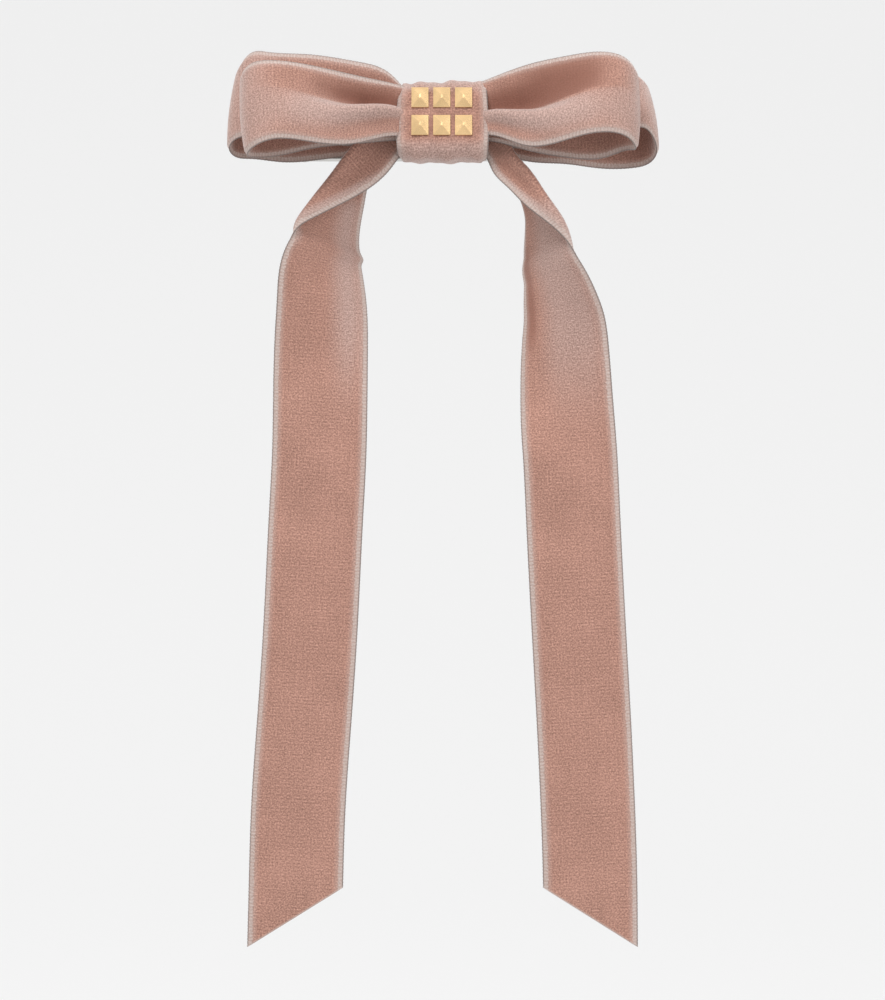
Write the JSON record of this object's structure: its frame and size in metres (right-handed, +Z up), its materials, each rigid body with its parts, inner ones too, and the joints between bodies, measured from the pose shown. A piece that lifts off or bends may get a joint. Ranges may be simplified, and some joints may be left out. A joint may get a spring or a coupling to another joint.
{
  "type": "hair barrette",
  "caption": "Velvet ribbon bow barrette with layered loops, long hanging tails, a studded knot and a spring clip.",
  "frame": {"origin": "In the gap where the clip grips the hair, behind the middle of the knot, with the bow and clip leaned back 14 degrees as on a head.", "axes": "+Z up along the hanging tails, +Y from the bow back towards the head, +X to the right as the bow is seen from the front."},
  "size_m": [0.1126, 0.0453, 0.2378],
  "materials": {
    "velvet": "double-faced velvet ribbon, dusty rose",
    "gold_metal": "polished gold plate",
    "plated_steel": "nickel-plated pressed spring steel",
    "felt": "pressed felt",
    "thread": "twisted polyester thread"
  },
  "bodies": {
    "bow": {"front_bow_ribbon": "velvet", "rear_bow_ribbon": "velvet", "tail_ribbon_middle": "velvet", "knot_ribbon": "velvet", "knot_seam_stitches": "thread", "gather_thread": "thread", "felt_pad": "felt", "base_plate": "plated_steel", "hinge_pin": "plated_steel", "catch_strip": "plated_steel", "catch_rivet": "plated_steel", "stud_upper_left": "gold_metal", "stud_upper_middle": "gold_metal", "stud_upper_right": "gold_metal", "stud_lower_left": "gold_metal", "stud_lower_middle": "gold_metal", "stud_lower_right": "gold_metal"},
    "left_tail": {"left_tail": "velvet"},
    "right_tail": {"right_tail": "velvet"},
    "locking_arm": {"locking_arm": "plated_steel"},
    "tension_bar": {"tension_bar": "plated_steel"},
    "catch_prong_upper": {"catch_prong_upper": "plated_steel"},
    "catch_prong_lower": {"catch_prong_lower": "plated_steel"}
  },
  "joints": [
    {"name": "arm_hinge", "type": "hinge", "parent": "bow", "child": "locking_arm", "pos_m": [-0.0375, 0.00252, -0.00063], "axis": [0, 0.2419, 0.9703], "range_deg": [0, 80], "deforming": ["catch_prong_upper", "catch_prong_lower"]},
    {"name": "tension_bar_flex", "type": "hinge", "parent": "bow", "child": "tension_bar", "pos_m": [-0.0375, 0.00252, -0.00063], "axis": [0, 0.2419, 0.9703], "range_deg": [0, 6.4]},
    {"name": "catch_upper_squeeze", "type": "hinge", "parent": "bow", "child": "catch_prong_upper", "pos_m": [0.0371, -0.00084, 0.00201], "axis": [-1, 0, 0], "range_deg": [0, 5], "stiffness_Nm_per_rad": 0.05},
    {"name": "catch_lower_squeeze", "type": "hinge", "parent": "bow", "child": "catch_prong_lower", "pos_m": [0.0371, -0.00169, -0.00138], "axis": [1, 0, 0], "range_deg": [0, 5], "stiffness_Nm_per_rad": 0.05},
    {"name": "left_tail_swing", "type": "hinge", "parent": "bow", "child": "left_tail", "pos_m": [-0.0225, -0.0194, -0.0135], "axis": [-1, 0, 0], "range_deg": [-35, 75]},
    {"name": "right_tail_swing", "type": "hinge", "parent": "bow", "child": "right_tail", "pos_m": [0.0205, -0.0194, -0.0135], "axis": [-1, 0, 0], "range_deg": [-35, 75]}
  ],
  "couplings": [
    {"joint": "tension_bar_flex", "follows": "arm_hinge", "ratio": 0.08},
    {"joint": "catch_lower_squeeze", "follows": "catch_upper_squeeze", "ratio": 1}
  ]
}
